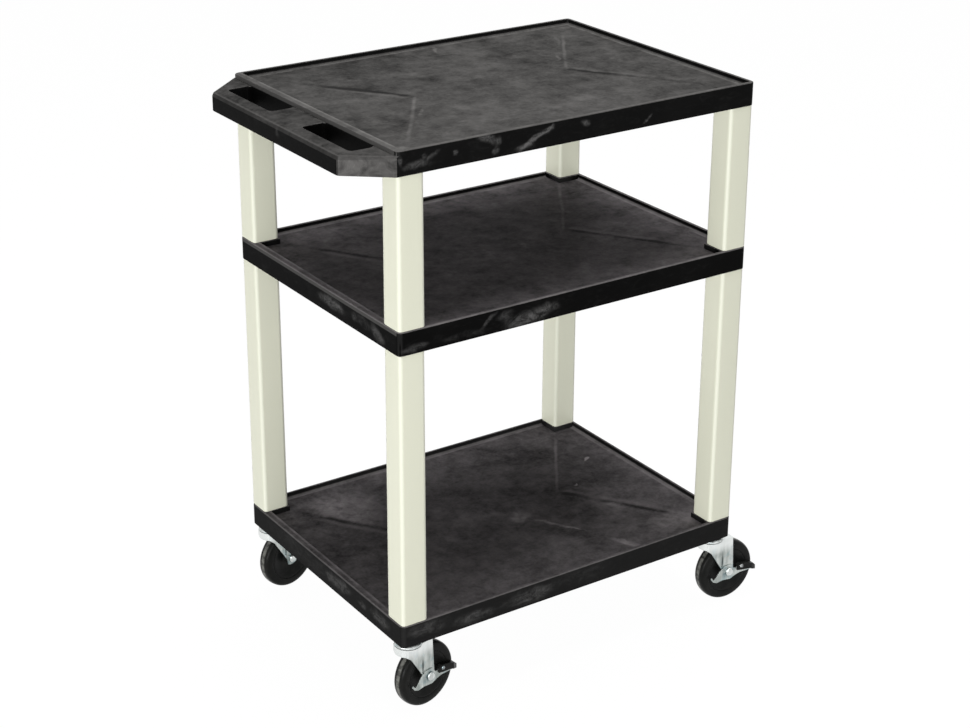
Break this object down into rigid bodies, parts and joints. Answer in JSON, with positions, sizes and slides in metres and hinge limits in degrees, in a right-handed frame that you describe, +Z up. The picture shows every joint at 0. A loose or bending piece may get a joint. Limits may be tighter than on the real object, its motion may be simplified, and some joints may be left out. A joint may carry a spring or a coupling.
{
  "type": "audio visual cart",
  "caption": "Audio visual cart: open moulded shelves on square tube legs, a push handle with hand slots moulded on to the top shelf, and swivel casters with foot brakes on one side.",
  "frame": {"origin": "on the floor, under the middle of the bounding box with the casters at rest", "axes": "+Z up; +X along the shelves, away from the push handle; +Y across the shelves"},
  "size_m": [0.739, 0.463, 0.8636],
  "materials": {
    "shelf_plastic": "fine-grained black moulding",
    "leg_plastic": "smooth ivory moulding with a slight sheen",
    "zinc_steel": "bright zinc plate",
    "tyre_rubber": "smooth black rubber",
    "hub_plastic": "moulded black plastic",
    "pad_plastic": "moulded black plastic"
  },
  "bodies": {
    "cart_frame": {"top_shelf": "shelf_plastic", "middle_shelf": "shelf_plastic", "bottom_shelf": "shelf_plastic", "upper_leg_rear_right": "leg_plastic", "lower_leg_rear_right": "leg_plastic", "stem_socket_rear_right": "zinc_steel", "caster_stem_rear_right": "zinc_steel", "raceway_cup_rear_right": "zinc_steel", "upper_leg_front_right": "leg_plastic", "lower_leg_front_right": "leg_plastic", "stem_socket_front_right": "zinc_steel", "caster_stem_front_right": "zinc_steel", "raceway_cup_front_right": "zinc_steel", "upper_leg_rear_left": "leg_plastic", "lower_leg_rear_left": "leg_plastic", "stem_socket_rear_left": "zinc_steel", "caster_stem_rear_left": "zinc_steel", "raceway_cup_rear_left": "zinc_steel", "upper_leg_front_left": "leg_plastic", "lower_leg_front_left": "leg_plastic", "stem_socket_front_left": "zinc_steel", "caster_stem_front_left": "zinc_steel", "raceway_cup_front_left": "zinc_steel"},
    "caster_rear_right": {"caster_fork_rear_right": "zinc_steel", "ball_race_rear_right": "zinc_steel", "axle_bolt_rear_right": "zinc_steel", "axle_nut_rear_right": "zinc_steel", "axle_sleeve_rear_right": "zinc_steel"},
    "wheel_rear_right": {"wheel_tyre_rear_right": "tyre_rubber", "wheel_hub_rear_right": "hub_plastic"},
    "brake_rear_right": {"brake_lever_rear_right": "zinc_steel", "pedal_pad_rear_right": "pad_plastic", "pad_rivet_rear_right": "zinc_steel"},
    "caster_front_right": {"caster_fork_front_right": "zinc_steel", "ball_race_front_right": "zinc_steel", "axle_bolt_front_right": "zinc_steel", "axle_nut_front_right": "zinc_steel", "axle_sleeve_front_right": "zinc_steel"},
    "wheel_front_right": {"wheel_tyre_front_right": "tyre_rubber", "wheel_hub_front_right": "hub_plastic"},
    "brake_front_right": {"brake_lever_front_right": "zinc_steel", "pedal_pad_front_right": "pad_plastic", "pad_rivet_front_right": "zinc_steel"},
    "caster_rear_left": {"caster_fork_rear_left": "zinc_steel", "ball_race_rear_left": "zinc_steel", "axle_bolt_rear_left": "zinc_steel", "axle_nut_rear_left": "zinc_steel", "axle_sleeve_rear_left": "zinc_steel"},
    "wheel_rear_left": {"wheel_tyre_rear_left": "tyre_rubber", "wheel_hub_rear_left": "hub_plastic"},
    "caster_front_left": {"caster_fork_front_left": "zinc_steel", "ball_race_front_left": "zinc_steel", "axle_bolt_front_left": "zinc_steel", "axle_nut_front_left": "zinc_steel", "axle_sleeve_front_left": "zinc_steel"},
    "wheel_front_left": {"wheel_tyre_front_left": "tyre_rubber", "wheel_hub_front_left": "hub_plastic"}
  },
  "joints": [
    {"name": "swivel_rear_right", "type": "hinge", "parent": "cart_frame", "child": "caster_rear_right", "pos_m": [-0.28643, -0.20936, 0.111], "axis": [0, 0, 1], "continuous": true},
    {"name": "wheel_spin_rear_right", "type": "hinge", "parent": "caster_rear_right", "child": "wheel_rear_right", "pos_m": [-0.25743, -0.20399, 0.0508], "axis": [-0.1822, 0.9833, 0], "continuous": true},
    {"name": "brake_rear_right", "type": "hinge", "parent": "caster_rear_right", "child": "brake_rear_right", "pos_m": [-0.25743, -0.20399, 0.0508], "axis": [-0.1822, 0.9833, 0], "range_deg": [0, 14]},
    {"name": "swivel_front_right", "type": "hinge", "parent": "cart_frame", "child": "caster_front_right", "pos_m": [0.27957, -0.20936, 0.111], "axis": [0, 0, 1], "continuous": true},
    {"name": "wheel_spin_front_right", "type": "hinge", "parent": "caster_front_right", "child": "wheel_front_right", "pos_m": [0.30904, -0.21065, 0.0508], "axis": [0.0436, 0.999, 0], "continuous": true},
    {"name": "brake_front_right", "type": "hinge", "parent": "caster_front_right", "child": "brake_front_right", "pos_m": [0.30904, -0.21065, 0.0508], "axis": [0.0436, 0.999, 0], "range_deg": [0, 14]},
    {"name": "swivel_rear_left", "type": "hinge", "parent": "cart_frame", "child": "caster_rear_left", "pos_m": [-0.28643, 0.20424, 0.111], "axis": [0, 0, 1], "continuous": true},
    {"name": "wheel_spin_rear_left", "type": "hinge", "parent": "caster_rear_left", "child": "wheel_rear_left", "pos_m": [-0.25752, 0.21012, 0.0508], "axis": [-0.1994, 0.9799, 0], "continuous": true},
    {"name": "swivel_front_left", "type": "hinge", "parent": "cart_frame", "child": "caster_front_left", "pos_m": [0.27957, 0.20424, 0.111], "axis": [0, 0, 1], "continuous": true},
    {"name": "wheel_spin_front_left", "type": "hinge", "parent": "caster_front_left", "child": "wheel_front_left", "pos_m": [0.30891, 0.20732, 0.0508], "axis": [-0.1045, 0.9945, 0], "continuous": true}
  ]
}
